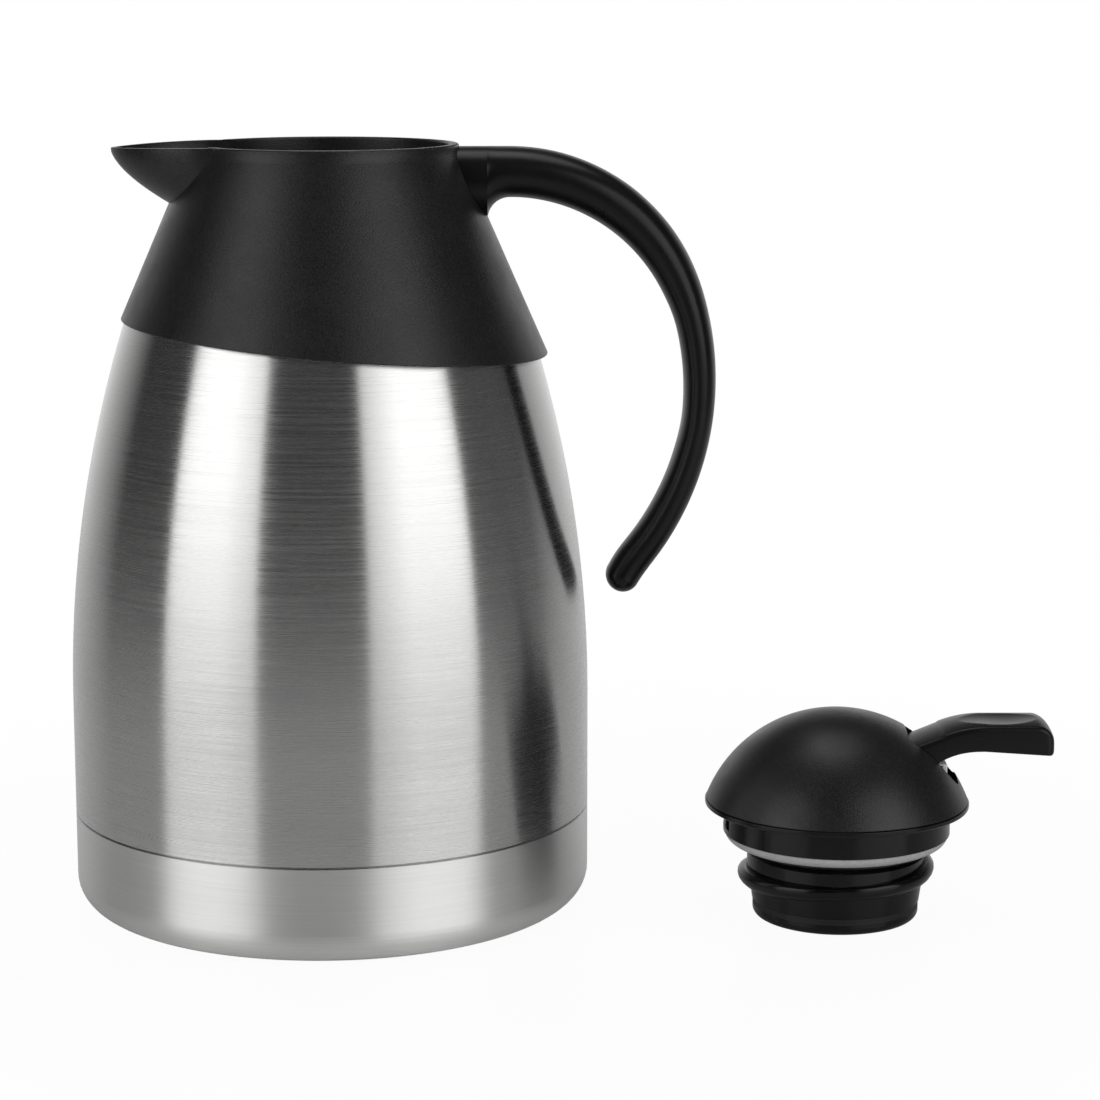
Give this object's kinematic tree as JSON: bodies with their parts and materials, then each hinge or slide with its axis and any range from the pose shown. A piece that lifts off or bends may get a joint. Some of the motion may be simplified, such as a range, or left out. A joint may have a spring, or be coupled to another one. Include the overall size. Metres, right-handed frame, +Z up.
{
  "type": "thermal jug",
  "caption": "Double-walled steel thermal jug with a black collar, pouring spout and bow handle, and a screw stopper with a thumb lever standing beside it.",
  "frame": {"origin": "middle of the jug's foot ring, on the table", "axes": "+Z up along the jug's axis and out of its mouth, +X from the jug's axis to the handle, spout to -X, lid standing on the table at +X"},
  "size_m": [0.263, 0.1396, 0.2051],
  "materials": {
    "brushed_barrel": "brushed round the barrel",
    "brushed_cup": "brushed round the cup",
    "drawn_steel": "plain drawn steel",
    "spark_black": "moulded with a fine spark-eroded grain",
    "satin_black": "smooth satin",
    "lever_black": "smooth satin",
    "gloss_black": "glossy as moulded",
    "grey_silicone": "matt silicone",
    "black_silicone": "matt silicone",
    "natural_white": "natural acetal, uncoloured"
  },
  "bodies": {
    "jug": {"outer_shell": "brushed_barrel", "base_cup": "brushed_cup", "vacuum_bottom": "drawn_steel", "vacuum_seal": "drawn_steel", "getter_capsule": "drawn_steel", "inner_vessel": "drawn_steel", "collar": "spark_black", "handle": "satin_black", "neck_ring": "gloss_black", "neck_gasket": "grey_silicone"},
    "lid": {"lid_dome": "spark_black", "stopper_body": "gloss_black", "stopper_seal": "grey_silicone", "stem_seal": "grey_silicone", "lever_pin": "drawn_steel", "valve_spring": "drawn_steel"},
    "lever": {"thumb_lever": "lever_black", "lever_carrier": "natural_white"},
    "valve": {"valve_disc": "gloss_black", "valve_gasket": "black_silicone", "valve_stem": "drawn_steel", "valve_screw": "drawn_steel", "stem_cap": "natural_white"}
  },
  "joints": [
    {"name": "lid_lift", "type": "slide", "parent": "jug", "child": "lid", "axis": [0, 0, 1], "range_m": [0, 0.25]},
    {"name": "lever_press", "type": "hinge", "parent": "lid", "child": "lever", "pos_m": [0.1154, -0.02, 0.038], "axis": [0, 1, 0], "range_deg": [0, 6.5], "stiffness_Nm_per_rad": 0.97, "springref_deg": -10.31},
    {"name": "valve_travel", "type": "slide", "parent": "lid", "child": "valve", "axis": [0, 0, -1], "range_m": [0, 0.0025], "deforming": ["valve_spring"]}
  ],
  "couplings": [
    {"joint": "valve_travel", "follows": "lever_press", "m_per_rad": 0.022}
  ]
}
